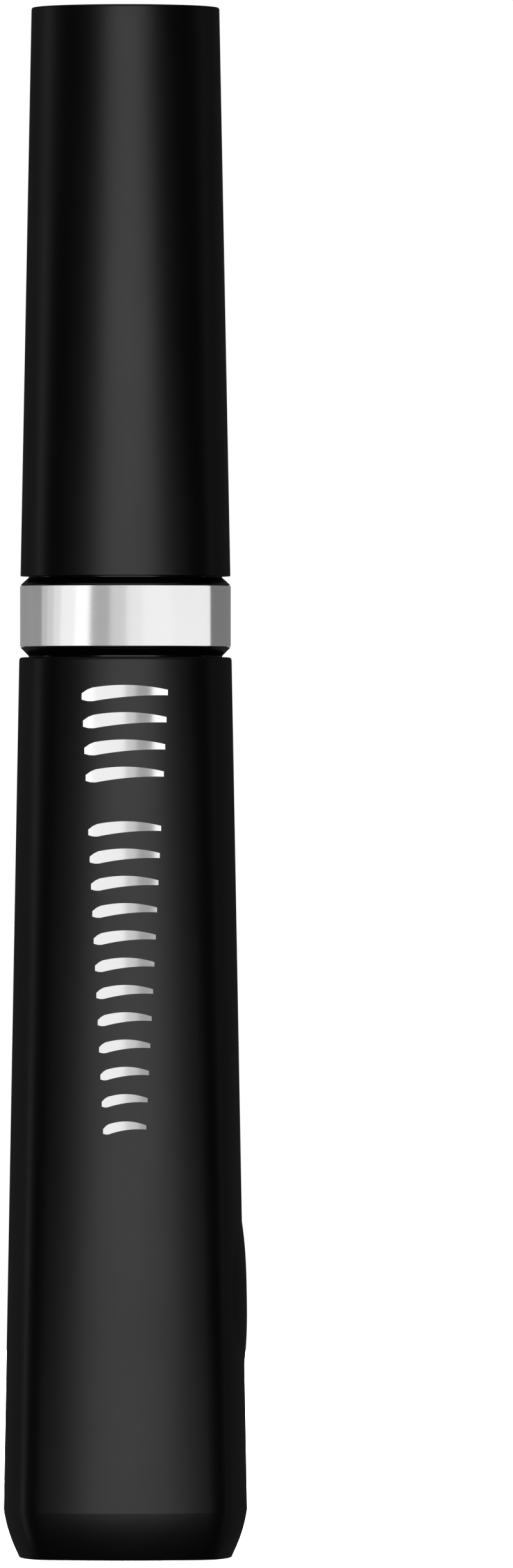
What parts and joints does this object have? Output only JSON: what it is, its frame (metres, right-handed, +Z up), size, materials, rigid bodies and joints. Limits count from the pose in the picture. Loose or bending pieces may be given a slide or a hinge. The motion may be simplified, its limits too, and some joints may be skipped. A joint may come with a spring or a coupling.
{
  "type": "mascara tube",
  "caption": "Slim square-sided mascara tube with crowned faces, a silver band, and a screw cap that carries a stem and a moulded brush with fine bristles.",
  "frame": {"origin": "centre of the foot, on the surface the tube stands on, with the tube closed", "axes": "+Z up along the tube's length; -Y towards the front face; +X towards the face with the lens-shaped boss"},
  "size_m": [0.0204, 0.0204, 0.13],
  "materials": {
    "vial_coat": "satin black coating",
    "cap_coat": "satin black coating",
    "base_plastic": "matte moulded black",
    "label_paper": "plain coated film, unprinted",
    "bottle_plastic": "moulded black polypropylene",
    "wiper_rubber": "soft natural polyethylene",
    "collar_plastic": "smooth black",
    "band_metal": "bright anodised silver",
    "washer_foam": "closed-cell foam",
    "insert_plastic": "moulded black polypropylene",
    "stem_plastic": "polished black",
    "brush_elastomer": "matte black elastomer"
  },
  "bodies": {
    "vial": {"vial_shell": "vial_coat", "base_plug": "base_plastic", "base_label": "label_paper", "inner_bottle": "bottle_plastic", "wiper": "wiper_rubber", "collar": "collar_plastic", "metal_band": "band_metal"},
    "seal": {"sealing_washer": "washer_foam"},
    "applicator": {"cap_shell": "cap_coat", "cap_insert": "insert_plastic", "stem": "stem_plastic", "brush": "brush_elastomer"}
  },
  "joints": [
    {"name": "applicator_pull", "type": "slide", "parent": "vial", "child": "seal", "axis": [0, 0, 1], "range_m": [0, 0.09], "deforming": ["wiper"]},
    {"name": "cap_twist", "type": "hinge", "parent": "seal", "child": "applicator", "pos_m": [0, 0, 0.0933], "axis": [0, 0, 1], "range_deg": [0, 405]}
  ]
}
